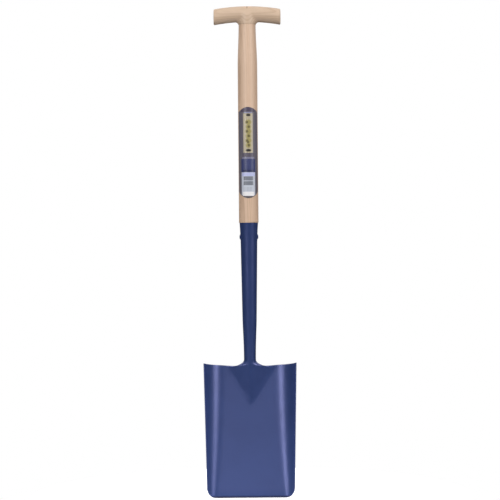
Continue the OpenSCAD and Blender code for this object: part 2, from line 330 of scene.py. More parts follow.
def raised(obj, z):
    obj.data.transform(Matrix.Translation((0.0, 0.0, z * MM)))
    return obj


def box_mesh(name, lo, hi):
    skin = Skin()
    (x0, y0, z0), (x1, y1, z1) = lo, hi
    low = [(x0, y0, z0), (x1, y0, z0), (x1, y1, z0), (x0, y1, z0)]
    high = [(x0, y0, z1), (x1, y0, z1), (x1, y1, z1), (x0, y1, z1)]
    a, b = skin.add(low), skin.add(high)
    skin.bridge(a, b)
    skin.faces.append(tuple(a))
    skin.faces.append(tuple(b))
    return skin.build(name)


# ================= Head =================


def sheet_thickness(s):
    return mix(SHEET_TOP, SHEET_TIP, s / BLADE_LEN)


def ground_off(s):
    """Depth taken off the front by grinding, next to the cutting edge."""
    return sheet_thickness(s) * (1 - GRIND_TO) * np.maximum(0, s - BLADE_LEN + GRIND_LEN) / GRIND_LEN


def half_flat(s):
    t = s / BLADE_LEN
    return mix(FLAT_TOP_W, FLAT_TIP_W, t) / 2 - 4 * FLAT_WAIST * t * (1 - t)


def curl(s):
    return mix(CURL_TOP, CURL_TIP, s / BLADE_LEN)


def curl_r(s):
    half_w = mix(TOP_W, TIP_W, s / BLADE_LEN) / 2 - sheet_thickness(s) * np.sin(curl(s))
    return (half_w - half_flat(s)) / np.sin(curl(s))


def hollow(s):
    return -4 * DISH * (s / BLADE_LEN) * (1 - s / BLADE_LEN)


FROG_H = (BLADE_Y + NECK_D / 2) / math.cos(LIFT)
FROG_SLOPE = FROG_H / (math.hypot(FROG_HALF_W, FROG_CROWN) - FROG_CROWN)
RIDGE_H = (NECK_D / 2 - BLADE_Y) / math.cos(LIFT) - SHEET_TOP


def frog(x, s):
    d = FROG_H - FROG_SLOPE * (np.hypot(x, FROG_CROWN) - FROG_CROWN) - s * math.tan(LIFT)
    soft = (d + FROG_BLEND) ** 2 / (4 * FROG_BLEND)
    return np.where(d >= FROG_BLEND, d, np.where(d <= -FROG_BLEND, 0.0, soft))


def ridge(x, s):
    across = np.maximum(0, 1 - (x / RIDGE_HALF_W) ** 2) ** 2
    return RIDGE_H * across * np.maximum(0, 1 - s / RIDGE_LEN) ** 2


def sheet_point(q, s, m):
    """Point at a developed distance q across and s down; m runs from the front, 0, to the back, 1."""
    side = np.sign(q)
    q = np.abs(q)
    turn = np.maximum(0, q - half_flat(s)) / curl_r(s)
    x = np.minimum(q, half_flat(s)) + curl_r(s) * np.sin(turn)
    n = curl_r(s) * (1 - np.cos(turn)) + hollow(s)
    off = mix(frog(x, s) - ground_off(s), -sheet_thickness(s) - ridge(x, s), m)
    x = side * (x - off * np.sin(turn))
    n = n + off * np.cos(turn)
    y = BLADE_Y - n * math.cos(LIFT) - s * math.sin(LIFT)
    z = -SOCKET_LEN + n * math.sin(LIFT) - s * math.cos(LIFT)
    return np.stack([x, y, z], -1)


def socket_r(d):
    """Outside radius of the socket at a distance below its mouth."""
    d = np.asarray(d, float)
    line = mix(SOCKET_TOP_D, SOCKET_LOW_D, d / TAPER_LEN) / 2
    flare = (MOUTH_D - SOCKET_TOP_D) / 2 * np.maximum(0, 1 - d / FLARE_LEN) ** 2
    return mix(line + flare, NECK_D / 2 + 0.01, ease((d - TAPER_LEN) / NECK_IN_LEN))


BORE_MID_R = float(socket_r(TAPER_LEN)) - WALL
BORE_END_R = float(socket_r(BORE_END)) - WALL
RIVET_SEAT = float(socket_r(-RIVET_Z)) - RIVET_SINK


def bore_low_r(d):
    """Radius of the bore at a depth below the long taper."""
    return mix(BORE_MID_R, BORE_END_R, (d - TAPER_LEN) / (BORE_END - TAPER_LEN))


FROG_LEN = FROG_H / math.tan(LIFT) + FROG_RUN_OUT
STRAIGHT_END = BLADE_LEN - CORNER_R


def reach_full(s):
    return half_flat(s) + curl_r(s) * curl(s)


ROOT_U = ROOT_W / 2 / reach_full(0.0)


def col_u(k):
    a = abs(k)
    u = ROOT_U * a / INNER if a <= INNER else mix(ROOT_U, 1.0, (a - INNER) / OUTER)
    return math.copysign(u, k)


def edge_inset(s, inset):
    return EDGE_ROUND * float(sheet_thickness(s) - ground_off(s)) * inset


def straight_place(k, j, inset):
    """Distance down the blade and reach across it, on a row above the bottom corners."""
    if j <= FROG_ROWS:
        s = FROG_LEN * j / FROG_ROWS
    else:
        s = mix(FROG_LEN, STRAIGHT_END, (j - FROG_ROWS) / MID_ROWS)
    rise = SHOULDER_RISE * float(ease((abs(col_u(k)) - ROOT_U) / (SHOULDER_U - ROOT_U)))
    s -= rise * max(0.0, 1 - s / FROG_LEN)
    top_inset = EDGE_ROUND * SHEET_TOP * inset * float(ease((abs(k) - INNER) / START_COLS))
    s += top_inset * min(1.0, max(0.0, 1 - s / FROG_LEN))
    return s, reach_full(s) - edge_inset(s, inset)


def corner_place(j, inset):
    """Distance down the blade and reach across it, on a row round the bottom corners."""
    a = math.pi / 2 * (j - FROG_ROWS - MID_ROWS) / CORNER_ROWS
    r = CORNER_R - edge_inset(STRAIGHT_END + CORNER_R * math.sin(a), inset)
    s = STRAIGHT_END + r * math.sin(a)
    return s, reach_full(s) - CORNER_R + r * math.cos(a)


def blade_vertex(k, j, m, inset):
    """Column k, row j; inset, from 0 to 1, is how far the rounding of the edge has drawn the outline in."""
    if j <= FROG_ROWS + MID_ROWS:
        s, reach = straight_place(k, j, inset)
    else:
        s, reach = corner_place(j, inset)
    return sheet_point(np.array(col_u(k) * reach), np.array(s), np.array(m))


def add_sheet(skin, m):
    """One face of the blade, the front for m = 0 or the back for m = 1, by column and row."""
    grid = {}
    for j in range(LAST_ROW + 1):
        for k in range(-COLS, COLS + 1):
            grid[k, j] = skin.add([blade_vertex(k, j, m, 1.0)])[0]
    for j in range(LAST_ROW):
        for k in range(-COLS, COLS):
            skin.faces.append((grid[k, j], grid[k + 1, j], grid[k + 1, j + 1], grid[k, j + 1]))
    return grid


def add_edge(skin, front, back):
    """Rounded edge from one side of the neck, round the blade, to the other, by column, row and level."""
    outline = [(k, 0) for k in range(INNER, COLS)]
    outline += [(COLS, j) for j in range(LAST_ROW)]
    outline += [(k, LAST_ROW) for k in range(COLS, -COLS, -1)]
    outline += [(-COLS, j) for j in range(LAST_ROW, 0, -1)]
    outline += [(k, 0) for k in range(-COLS, -INNER + 1)]
    level = {}
    for k, j in outline:
        level[k, j, 0] = front[k, j]
        level[k, j, LEVELS] = back[k, j]
        for n in range(1, LEVELS):
            phi = math.pi * n / LEVELS
            p = blade_vertex(k, j, (1 - math.cos(phi)) / 2, 1 - math.sin(phi))
            level[k, j, n] = skin.add([p])[0]
    for a, b in zip(outline, outline[1:]):
        for n in range(LEVELS):
            quad = (level[(*a, n)], level[(*b, n)], level[(*b, n + 1)], level[(*a, n + 1)])
            skin.faces.append(quad)
    return level


def neck_foot(front, back, level):
    """Points round the foot of the neck, and the angle that each of them has where the neck is round."""
    loop = [front[k, 0] for k in range(-INNER, INNER + 1)]
    loop += [level[INNER, 0, n] for n in range(1, LEVELS)]
    loop += [back[k, 0] for k in range(INNER, -INNER - 1, -1)]
    loop += [level[-INNER, 0, n] for n in range(LEVELS - 1, 0, -1)]
    face_a = np.linspace(math.pi + SIDE_ANGLE, 2 * math.pi - SIDE_ANGLE, 2 * INNER + 1)
    side_a = np.linspace(-SIDE_ANGLE, SIDE_ANGLE, LEVELS + 1)[1:-1]
    angles = np.concatenate([face_a, side_a, face_a - math.pi, side_a + math.pi])
    return loop, angles


def neck_rings(start, angles):
    """Rings that close in from the blade's top edge to the round neck."""
    end = ring_at(angles, NECK_D / 2, -SOCKET_LEN + NECK_RISE)
    stack = []
    for t in np.linspace(0, 1, NECK_RINGS + 1)[1:]:
        x = mix(end[:, 0], start[:, 0], (1 - t) ** CLOSE_X)
        y = mix(end[:, 1], start[:, 1], (1 - t) ** CLOSE_Y)
        stack.append(np.stack([x, y, mix(start[:, 2], end[:, 2], t)], 1))
    return stack


def socket_rings(angles):
    """Rings up the outside of the socket, close together at the flat seats of the rivet's heads."""
    drop = -RIVET_Z
    seat_rings = round(2 * SEAT_HALF / SEAT_STEP) + 1
    depths = np.concatenate([
        np.linspace(SOCKET_LEN - NECK_RISE - 2, drop + SEAT_MARGIN, LOW_RINGS),
        np.linspace(drop + SEAT_HALF, drop - SEAT_HALF, seat_rings),
        np.linspace(drop - SEAT_MARGIN, RIM_R, MOUTH_RINGS),
    ])
    stack = []
    for d in depths:
        ring = ring_at(angles, float(socket_r(d)), -d)
        near = np.hypot(ring[:, 1], ring[:, 2] + drop) < RIVET_R + SHAFT_GAP
        ring[near, 0] = np.clip(ring[near, 0], -RIVET_SEAT, RIVET_SEAT)
        stack.append(ring)
    for a in np.radians([22.5, 45, 67.5, 90]):
        r = MOUTH_D / 2 - RIM_R + RIM_R * math.cos(a)
        stack.append(ring_at(angles, r, -RIM_R + RIM_R * math.sin(a)))
    return stack


def bore_rings(angles):
    """Rings down the bore; the last one lies on its flat end."""
    stack = [ring_at(angles, BORE_TOP_R + RIM_BEVEL, 0)]
    for d in np.linspace(RIM_BEVEL, TAPER_LEN, BORE_RINGS):
        stack.append(ring_at(angles, mix(BORE_TOP_R, BORE_MID_R, d / TAPER_LEN), -d))
    for d in np.linspace(TAPER_LEN, BORE_END, BORE_END_RINGS + 1)[1:]:
        stack.append(ring_at(angles, bore_low_r(d), -d))
    stack.append(ring_at(angles, BORE_END_R * 0.4, -BORE_END))
    return stack


def make_head():
    """Blade, neck and socket as one closed skin."""
    skin = Skin()
    front = add_sheet(skin, 0.0)
    back = add_sheet(skin, 1.0)
    level = add_edge(skin, front, back)
    loop, angles = neck_foot(front, back, level)
    start = np.array([skin.points[i] for i in loop])
    stack = neck_rings(start, angles) + socket_rings(angles) + bore_rings(angles)
    ids = skin.rings(stack, cap_b=(0, 0, -BORE_END))
    skin.bridge(loop, ids[0])
    return skin.build("spade_head_forging", sharp=50.0)


def make_rivet():
    """Turned along X: a shank with a low domed head at each end."""
    base = RIVET_SEAT + RIVET_RIM
    rise = rivet_hi.x - base
    half = [
        (RIVET_SHANK_R, RIVET_SEAT - 2),
        (RIVET_SHANK_R, RIVET_SEAT),
        (RIVET_R - RIVET_BEVEL, RIVET_SEAT),
        (RIVET_R, RIVET_SEAT + RIVET_BEVEL),
        (RIVET_R, base),
    ]
    for a in np.radians(np.arange(9, 90, 9)):
        half.append((RIVET_R * math.cos(a), base + rise * math.sin(a)))
    profile = [(r, -h) for r, h in reversed(half)] + half
    return raised(turned("socket_rivet_turned", profile, SMALL_POINTS, "X"), RIVET_Z)


# ================= Shaft =================


def crown_z(x, y):
    """Height of the crossbar's upper surface."""
    bar = ARCH_R + np.sqrt(np.maximum(0, GRIP_R ** 2 - y ** 2))
    return ARCH_Z + np.sqrt(bar ** 2 - x ** 2)


def shaft_profile():
    """Radius and height pairs from the lower end in the socket up to the tenon."""
    low_r = bore_low_r(-shaft_lo.z)
    profile = [
        (low_r - 2, shaft_lo.z),
        (low_r - SHAFT_GAP - FOOT_BEVEL_W, shaft_lo.z),
        (low_r - SHAFT_GAP, shaft_lo.z + FOOT_BEVEL_H),
        (BORE_MID_R - SHAFT_GAP, -TAPER_LEN),
    ]
    for t in np.linspace(0, 1, 30)[1:]:
        profile.append((mix(BORE_MID_R, BORE_TOP_R, t) - SHAFT_GAP, mix(-TAPER_LEN, 0, t)))
    profile += [(SHAFT_R - inward, up) for inward, up in MOUTH_ROUNDING]
    for z in np.linspace(0, PARALLEL_LEN, 81)[1:]:
        profile.append((SHAFT_R, z))
    for t in np.linspace(0, 1, 28)[1:-1]:
        profile.append((mix(SHAFT_R, SHOULDER_R, float(ease(t))), mix(PARALLEL_LEN, JOINT_Z, t)))
    profile += [
        (SHOULDER_R, JOINT_Z - SHOULDER_BEVEL),
        (SHOULDER_R - SHOULDER_BEVEL, JOINT_Z),
        (TENON_R, JOINT_Z),
    ]
    profile += [(TENON_R, JOINT_Z + rise) for rise in (6, 12, 18, 24, 30)]
    return profile


def pin_hole():
    """Cutter for the pin's hole, which enters at the back and stops short of the front."""
    return raised(rod("pin_hole", PIN_R + PIN_GAP, pin_lo.y - PIN_RECESS, CUT_REACH, "Y"), PIN_Z)


def make_shaft():
    """Shaft with its tenon, sawn for the wedge and bored for the pin and the rivet."""
    skin = Skin()
    stack = [circle(r, z, SHAFT_POINTS) for r, z in shaft_profile()]
    # The tenon's end is dressed off to the crown of the bar
    for r in (TENON_R, 11.6, 10, 8, 6, 4, 2):
        ring = circle(r, 0, SHAFT_POINTS)
        ring[:, 2] = crown_z(ring[:, 0], ring[:, 1]) - (TENON_BEVEL if r == TENON_R else 0.0)
        stack.append(ring)
    skin.rings(stack, (0, 0, shaft_lo.z), (0, 0, shaft_hi.z))
    shaft = skin.build("ash_shaft_turned")
    kerf_lo = (-KERF_W / 2, -CUT_REACH, shaft_hi.z - KERF_LEN)
    kerf_hi = (KERF_W / 2, CUT_REACH, shaft_hi.z + CUT_PAST)
    rivet_hole = rod("rivet_hole", RIVET_SHANK_R + FIT_GAP, -CUT_REACH, CUT_REACH, "X")
    return cut(shaft, box_mesh("kerf", kerf_lo, kerf_hi), pin_hole(), raised(rivet_hole, RIVET_Z))


# ================= Grip =================


def bar_gap(x, y, z):
    """Signed distance outside the arched bar."""
    return np.hypot(np.hypot(x, z - ARCH_Z) - ARCH_R, y) - GRIP_R


def boss_gap(x, y, z):
    """Signed distance outside the round boss with its domed top, roughly."""
    rho = np.hypot(x, y)
    t = np.clip((z - JOINT_Z) / (BOSS_WALL_Z - JOINT_Z), 0, 1)
    wall = rho - BOSS_R - BOSS_SWELL * t
    top_r = BOSS_R + BOSS_SWELL
    dome = (np.hypot(rho / top_r, (z - BOSS_WALL_Z) / BOSS_DOME) - 1) * BOSS_DOME
    return np.where(z > BOSS_WALL_Z, dome, wall)


def soft_union(a, b, k):
    h = np.clip(0.5 + 0.5 * (b - a) / k, 0, 1)
    return mix(b, a, h) - k * h * (1 - h)


def grip_gap(x, y, z):
    k = mix(FILLET_LOW, FILLET_HIGH, ease((z - JOINT_Z - FILLET_FROM) / FILLET_OVER))
    both = soft_union(bar_gap(x, y, z), boss_gap(x, y, z), k)
    return np.maximum(both, JOINT_Z - z)


def bar_sections():
    """Places along X for the bar's rings, and how far the rounding of the ends draws each one in."""
    straight = grip_hi.x - GRIP_END_R
    arc = np.radians([18, 36, 54, 72, 90])
    past = GRIP_END_R * np.sin(arc)
    inset = GRIP_END_R * (1 - np.cos(arc))
    xs = [-grip_hi.x + (GRIP_END_R - p) for p in past[::-1]]
    xs += list(np.linspace(-straight, straight, BAR_RINGS))
    xs += [grip_hi.x - (GRIP_END_R - p) for p in past]
    insets = list(inset[::-1]) + [0.0] * BAR_RINGS + list(inset)
    return np.array(xs)[:, None], np.array(insets)[:, None]


def make_grip():
    """Rings round the bar's axis: each point is found outwards from the axis by halving."""
    x, inset = bar_sections()
    theta = (np.arange(BAR_POINTS) * 2 * math.pi / BAR_POINTS)[None, :]
    axis_z = ARCH_Z + np.sqrt(ARCH_R ** 2 - x ** 2)
    dy, dz = np.sin(theta), np.cos(theta)
    near = np.full((len(x), BAR_POINTS), GRIP_R / 2)
    far = np.full((len(x), BAR_POINTS), GRIP_R * 2.5)
    for _ in range(40):
        r = (near + far) / 2
        outside = grip_gap(x + 0 * r, r * dy, axis_z + r * dz) > 0
        far = np.where(outside, r, far)
        near = np.where(outside, near, r)
    r = (near + far) / 2 - inset
    stack = list(np.stack([x + 0 * r, r * dy, axis_z + r * dz], -1))
    centre_a = np.array([x[0, 0], 0, axis_z[0, 0]])
    centre_b = np.array([x[-1, 0], 0, axis_z[-1, 0]])
    flat_a = [mix(centre_a, stack[0], t) for t in (0.3, 0.65)]
    flat_b = [mix(centre_b, stack[-1], t) for t in (0.65, 0.3)]
    skin = Skin()
    skin.rings(flat_a + stack + flat_b, tuple(centre_a), tuple(centre_b))
    grip = skin.build("crossbar_carved")
    foot, head = JOINT_Z - CUT_PAST, shaft_hi.z + CUT_PAST
    mortise = rod("mortise", TENON_R + FIT_GAP, foot, head, "Z", SHAFT_POINTS)
    return cut(grip, mortise, pin_hole())


def make_wedge():
    """Thin taper driven into the tenon's saw cut, dressed off to the crown of the bar."""
    across = np.linspace(-1, 1, 25)
    stack = []
    for t in np.linspace(0, 1, 9):
        w = mix(WEDGE_TIP, wedge_hi.x, t)
        reach = math.sqrt((TENON_R - FIT_GAP) ** 2 - w * w)
        side = [(w, y * reach, 0.0) for y in across]
        other = [(-w, y * reach, 0.0) for y in across[::-1]]
        ring = np.array(side + other)
        ring[:, 2] = mix(wedge_lo.z, crown_z(ring[:, 0], ring[:, 1]), t)
        stack.append(ring)
    inner = stack[-1].copy()
    inner[:, 0] *= 0.4
    inner[:, 2] = crown_z(inner[:, 0], inner[:, 1])
    skin = Skin()
    ids = skin.rings(stack + [inner])
    m = len(across)
    for ring in (ids[0], ids[-1]):
        for k in range(m - 1):
            skin.faces.append((ring[k], ring[k + 1], ring[2 * m - 2 - k], ring[2 * m - 1 - k]))
    return skin.build("tenon_wedge_driven")


def make_pin():
    """Cut steel pin, bevelled at its leading end and slightly rounded at the end seen from the back."""
    lo, hi = pin_lo.y, pin_hi.y
    profile = [
        (PIN_R - PIN_BEVEL, lo),
        (PIN_R, lo + PIN_BEVEL),
        (PIN_R, hi - 0.3),
        (PIN_R - 0.12, hi - 0.1),
        (PIN_R - PIN_BEVEL, hi),
    ]
    return raised(turned("grip_pin_turned", profile, SMALL_POINTS, "Y"), PIN_Z)


def make_label():
    """Closed thin film wrapped round the shaft, with domed ends."""
    half_x = SHAFT_R * math.sin(WRAP)

    def end_drop(rise, x):
        r = (half_x ** 2 + rise ** 2) / (2 * rise)
        return r - math.sqrt(max(0.0, r * r - min(abs(x), half_x) ** 2))

    def layer(r):
        grid = []
        for i in range(LABEL_COLS + 1):
            a = mix(-WRAP, WRAP, i / LABEL_COLS)
            x, y = r * math.sin(a), -r * math.cos(a)
            top = label_hi.z - end_drop(DOME_TOP, x)
            low = label_lo.z + end_drop(DOME_LOW, x)
            heights = [mix(low, top, j / LABEL_ROWS) for j in range(LABEL_ROWS + 1)]
            grid.append(skin.add([(x, y, z) for z in heights]))
        for a, b in zip(grid, grid[1:]):
            skin.bridge(a, b, closed=False)
        return grid

    def rim(grid):
        low = [column[0] for column in grid[:-1]]
        top = [column[-1] for column in grid[:0:-1]]
        return low + grid[-1][:-1] + top + grid[0][:0:-1]

    skin = Skin()
    outer = layer(SHAFT_R + FILM_GAP + FILM_T)
    inner = layer(SHAFT_R + FILM_GAP)
    skin.bridge(rim(outer), rim(inner))
    return skin.build("printed_label_film")


# ================= Materials =================


class Graph:
    """Adds shader nodes to one material and links them."""

    def __init__(self, name):
        self.mat = bpy.data.materials.new(name)
        self.mat.use_nodes = True
        self.tree = self.mat.node_tree
        self.tree.nodes.clear()
        self.out = self.node("ShaderNodeOutputMaterial")
        self.shader = self.node("ShaderNodeBsdfPrincipled")
        self.tree.links.new(self.shader.outputs[0], self.out.inputs[0])
        self.place = self.node("ShaderNodeTexCoord").outputs["Object"]

    def node(self, kind, **settings):
        n = self.tree.nodes.new(kind)
        for key, value in settings.items():
            setattr(n, key, value)
        return n

    def feed(self, socket, value):
        if isinstance(value, bpy.types.NodeSocket):
            self.tree.links.new(value, socket)
        else:
            socket.default_value = value

    def calc(self, op, a, b=None):
        n = self.node("ShaderNodeMath", operation=op)
        self.feed(n.inputs[0], a)
        if b is not None:
            self.feed(n.inputs[1], b)
        return n.outputs[0]

    def length(self, a, b):
        squares = [self.calc("MULTIPLY", v, v) for v in (a, b)]
        return self.calc("SQRT", self.calc("ADD", *squares))

    def stretch(self, scale):
        n = self.node("ShaderNodeVectorMath", operation="MULTIPLY")
        self.feed(n.inputs[0], self.place)
        self.feed(n.inputs[1], scale)
        return n.outputs[0]

    def parts(self):
        n = self.node("ShaderNodeSeparateXYZ")
        self.feed(n.inputs[0], self.place)
        return n.outputs

    def noise(self, scale, detail=2.0, rough=0.5, vector=None):
        n = self.node("ShaderNodeTexNoise")
        self.feed(n.inputs["Vector"], vector or self.place)
        self.feed(n.inputs["Scale"], scale)
        self.feed(n.inputs["Detail"], detail)
        self.feed(n.inputs["Roughness"], rough)
        return n.outputs[0]

    def ramp(self, value, low, high, to_low=0.0, to_high=1.0):
        """Smooth step from one value to another; high may lie below low."""
        n = self.node("ShaderNodeMapRange", clamp=True)
        n.interpolation_type = "SMOOTHSTEP"
        for socket, v in zip(n.inputs, (value, low, high, to_low, to_high)):
            self.feed(socket, v)
        return n.outputs[0]

    def blend(self, factor, a, b):
        n = self.node("ShaderNodeMix", data_type="RGBA")
        self.feed(n.inputs[0], factor)
        self.feed(n.inputs[6], a)
        self.feed(n.inputs[7], b)
        return n.outputs[2]

    def bump(self, height, distance, strength, under=None):
        n = self.node("ShaderNodeBump")
        self.feed(n.inputs["Strength"], strength)
        self.feed(n.inputs["Distance"], distance)
        self.feed(n.inputs["Height"], height)
        if under is not None:
            self.feed(n.inputs["Normal"], under)
        return n.outputs[0]

    def set(self, **values):
        for key, value in values.items():
            self.feed(self.shader.inputs[key.replace("_", " ")], value)
        return self.mat


def rgba(r, g, b):
    return (r, g, b, 1.0)


def mix_rgba(a, b, t):
    return tuple(mix(p, q, t) for p, q in zip(a, b))


def enamel():
    """Semi-gloss blue stoved enamel over forged steel."""
    g = Graph("blue_enamel")
    clouds = g.noise(14.0, 3.0, 0.55)
    mottled = g.noise(160.0, 2.0, 0.5)
    base = g.blend(g.ramp(clouds, 0.3, 0.7), rgba(0.031, 0.055, 0.166), rgba(0.034, 0.060, 0.180))
    base = g.blend(g.ramp(mottled, 0.45, 0.85, 0.0, 0.12), base, rgba(0.027, 0.048, 0.148))

    # Painted shade: the paint darkens towards the ground edge, and is duller there; heights in metres above
    # the tip
    waver = 0.0016
    shade_from, shade_to = 0.0026, 0.0062
    dull_from, dull_to = 0.0020, 0.0240
    tip = head_lo.z * MM
    height = g.calc("ADD", g.parts()[2], g.calc("MULTIPLY", g.noise(220.0, 2.0, 0.6), waver))
    # Painted shade along the cutting edge, blended into the base colour
    painted_edge_shade = g.ramp(height, tip + shade_from, tip + shade_to, 0.9, 0.0)
    base = g.blend(painted_edge_shade, base, rgba(0.014, 0.020, 0.045))
    gloss = g.ramp(height, tip + dull_from, tip + dull_to, 0.30, 0.5)

    # Orange peel of the paint over the unevenness of the forging
    rough = g.ramp(g.noise(90.0, 3.0, 0.6), 0.3, 0.75, 0.30, 0.36)
    peel = g.bump(g.noise(620.0, 1.0, 0.4), 0.00006, 0.35)
    uneven = g.bump(g.noise(45.0, 2.0, 0.5), 0.0006, 0.25, peel)
    g.set(Base_Color=base, Metallic=0.3, Roughness=rough, Normal=uneven)
    g.set(Specular_Tint=rgba(1.0, 0.8, 1.0), Specular_IOR_Level=gloss)
    return g.set(Coat_Weight=0.1, Coat_Roughness=0.25)


def wood(name, along, heart, light, dark):
    """Clear-lacquered wood cut along one axis; heart is where the tree's centre lay, across, in metres."""
    g = Graph(name)
    axes = {"Z": (0, 1, 2), "X": (1, 2, 0)}[along]

    def drawn_out(across, lengthwise):
        scale = [0.0, 0.0, 0.0]
        scale[axes[0]] = across
        scale[axes[1]] = across
        scale[axes[2]] = lengthwise
        return g.stretch(tuple(scale))

    # Growth rings that sway a little along the grain, in metres
    ring_width, ring_sway = 0.0031, 0.016
    xyz = g.parts()
    a = g.calc("SUBTRACT", xyz[axes[0]], heart[0])
    b = g.calc("SUBTRACT", xyz[axes[1]], heart[1])
    sway = g.calc("MULTIPLY", g.noise(1.0, 2.0, 0.5, drawn_out(9.0, 1.6)), ring_sway)
    phase = g.calc("FRACT", g.calc("DIVIDE", g.calc("ADD", g.length(a, b), sway), ring_width))
    early = g.calc("MULTIPLY", g.ramp(phase, 0.0, 0.08), g.ramp(phase, 0.5, 0.14))

    # Fibres, pores along the early part of each ring, and slow changes of tone
    fibre = g.noise(1.0, 3.0, 0.6, drawn_out(1500.0, 34.0))
    pores = g.ramp(g.noise(1.0, 1.0, 0.5, drawn_out(2400.0, 54.4)), 0.62, 0.75)
    pores = g.calc("MULTIPLY", pores, g.ramp(early, 0.0, 1.0, 0.25, 1.0))
    tone = g.noise(1.0, 2.0, 0.5, drawn_out(20.7, 3.68))

    line = g.calc("MULTIPLY", early, g.ramp(tone, 0.3, 0.7, 0.2, 0.5))
    pore_colour = mix_rgba(dark, rgba(0.16, 0.09, 0.05), 0.5)
    base = g.blend(g.ramp(fibre, 0.25, 0.75), light, mix_rgba(light, dark, 0.22))
    base = g.blend(line, base, dark)
    base = g.blend(g.calc("MULTIPLY", pores, 0.35), base, pore_colour)
    base = g.blend(g.ramp(tone, 0.35, 0.75, 0.0, 0.22), base, mix_rgba(light, dark, 0.6))
    rough = g.ramp(fibre, 0.2, 0.8, 0.42, 0.55)
    grain = g.bump(g.calc("SUBTRACT", g.calc("MULTIPLY", fibre, 0.4), pores), 0.00012, 0.5)
    g.set(Base_Color=base, Roughness=rough, Normal=grain)
    return g.set(Coat_Weight=0.12, Coat_Roughness=0.3, Specular_IOR_Level=0.4)


def steel():
    """Cut steel with fine scratches and a few dull spots."""
    g = Graph("plain_steel")
    scratch = g.noise(1.0, 3.0, 0.6, g.stretch((900.0, 40.0, 2600.0)))
    base = g.blend(g.ramp(scratch, 0.3, 0.7), rgba(0.50, 0.49, 0.48), rgba(0.62, 0.61, 0.60))
    spots = g.ramp(g.noise(900.0, 3.0, 0.6), 0.58, 0.72, 0.0, 0.5)
    base = g.blend(spots, base, rgba(0.22, 0.17, 0.13))
    rough = g.ramp(scratch, 0.2, 0.8, 0.3, 0.5)
    return g.set(Base_Color=base, Metallic=1.0, Roughness=rough, Normal=g.bump(scratch, 0.00005, 0.4))


class Print(Graph):
    """Film with masks in millimetres: up from the socket's mouth, and round the shaft from its front."""

    SOFT = 0.35
    DISC_SOFT = 0.25

    def __init__(self, name):
        super().__init__(name)
        x, y, z = self.parts()
        self.arc = self.calc("MULTIPLY", self.calc("ARCTAN2", x, self.calc("MULTIPLY", y, -1.0)), SHAFT_R)
        self.up = self.calc("DIVIDE", z, MM)
        self.across = self.calc("ABSOLUTE", self.arc)

    def below(self, value, edge):
        return self.ramp(value, edge - self.SOFT, edge + self.SOFT, 1.0, 0.0)

    def band(self, low, high, half_width):
        above = self.ramp(self.up, low - self.SOFT, low + self.SOFT)
        tall = self.calc("MULTIPLY", above, self.below(self.up, high))
        return self.calc("MULTIPLY", tall, self.below(self.across, half_width))

    def disc(self, up, half_height, side, half_width):
        dz = self.calc("DIVIDE", self.calc("SUBTRACT", self.up, up), half_height)
        dx = self.calc("DIVIDE", self.calc("SUBTRACT", self.arc, side), half_width)
        return self.ramp(self.length(dz, dx), 1 - self.DISC_SOFT, 1 + self.DISC_SOFT, 1.0, 0.0)

    def bands(self, base, *rows):
        """Each row is the lower and upper height of a band, half of its width, and its colour."""
        for low, high, half_width, colour in rows:
            base = self.blend(self.band(low, high, half_width), base, colour)
        return base


GREY = rgba(0.165, 0.152, 0.172)
PLUM = rgba(0.070, 0.055, 0.095)
NAVY = rgba(0.022, 0.028, 0.090)
BEIGE = rgba(0.450, 0.390, 0.270)
OLIVE = rgba(0.130, 0.105, 0.040)
YELLOW = rgba(0.340, 0.290, 0.100)
INK = rgba(0.020, 0.016, 0.014)
BLUE = rgba(0.038, 0.048, 0.150)
LAVENDER = rgba(0.480, 0.510, 0.760)
WHITE = rgba(0.820, 0.800, 0.810)
PALE = rgba(0.530, 0.560, 0.640)
SLATE = rgba(0.120, 0.130, 0.160)


def print_ornament(g, base):
    """A chain of plain lozenges and dots, between two dark discs."""
    first, step = 205.0, 9.4
    for k in range(6):
        odd = k % 2
        up = first - step * k
        base = g.blend(g.disc(up, 5.2, 0.6, 5.4 if odd else 6.6), base, YELLOW)
        base = g.blend(g.disc(up, 2.6, 1.4 if odd else -2.0, 2.6), base, OLIVE)
    base = g.blend(g.disc(219.6, 2.6, 0.8, 4.6), base, INK)
    base = g.blend(g.disc(164.5, 2.6, 0.0, 2.4), base, OLIVE)
    return g.blend(g.disc(147.5, 2.8, 0.8, 5.6), base, INK)


def print_rules(g, base):
    """Two short blocks of plain rules that carry no code, and a fainter row of dashes below them."""
    wave = g.calc("SINE", g.calc("MULTIPLY", g.arc, 4.4))
    wave = g.calc("ADD", wave, g.calc("SINE", g.calc("MULTIPLY", g.arc, 7.1)))
    rules = g.ramp(wave, -1.2, 0.4, 0.55, 1.0)
    for low, high in ((86.0, 94.4), (76.4, 84.6)):
        base = g.blend(g.calc("MULTIPLY", g.band(low, high, 10.2), rules), base, SLATE)
    dashes = g.ramp(g.calc("SINE", g.calc("MULTIPLY", g.arc, 2.1)), 0.0, 0.6, 0.0, 0.35)
    return g.blend(g.calc("MULTIPLY", g.band(64.0, 73.0, 8.5), dashes), base, SLATE)


